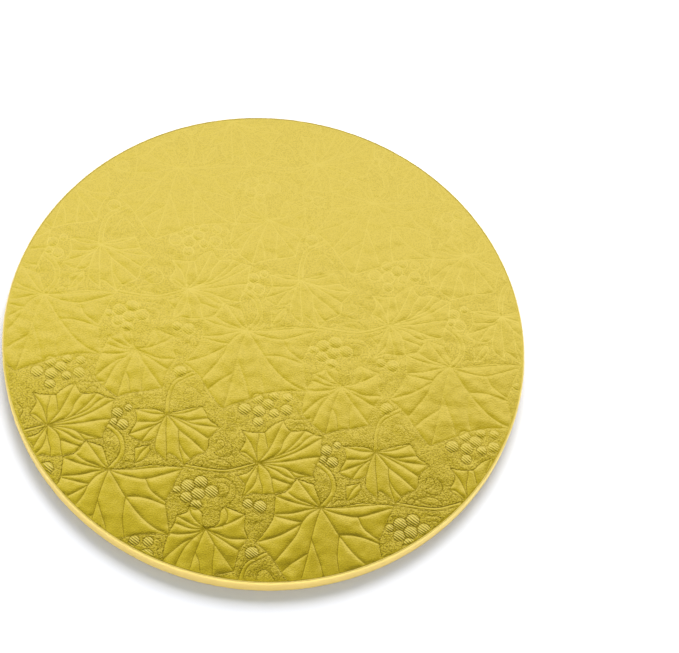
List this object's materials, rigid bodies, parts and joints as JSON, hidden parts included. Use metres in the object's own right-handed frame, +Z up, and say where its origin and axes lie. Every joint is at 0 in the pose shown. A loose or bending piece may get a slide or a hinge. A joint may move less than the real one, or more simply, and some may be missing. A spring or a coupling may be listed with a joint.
{
  "type": "cake board",
  "caption": "Round cake drum board wrapped in embossed gold foil paper, with a white paper underside, for carrying and showing a cake.",
  "frame": {"origin": "middle of the underside, on the surface the board rests on", "axes": "+Z up through the gold face; +X along the rows of the embossed leaf pattern; +Y away from the viewer of the picture"},
  "size_m": [0.3048, 0.3048, 0.0125],
  "materials": {
    "gold_foil": "embossed gold-lacquered foil laminated to paper, satin to bright",
    "core_board": "raw brown board, hidden inside",
    "white_paper": "smooth matt white paper"
  },
  "bodies": {
    "root": {"foil_wrap": "gold_foil", "board_core": "core_board", "backing_paper": "white_paper"}
  },
  "joints": []
}
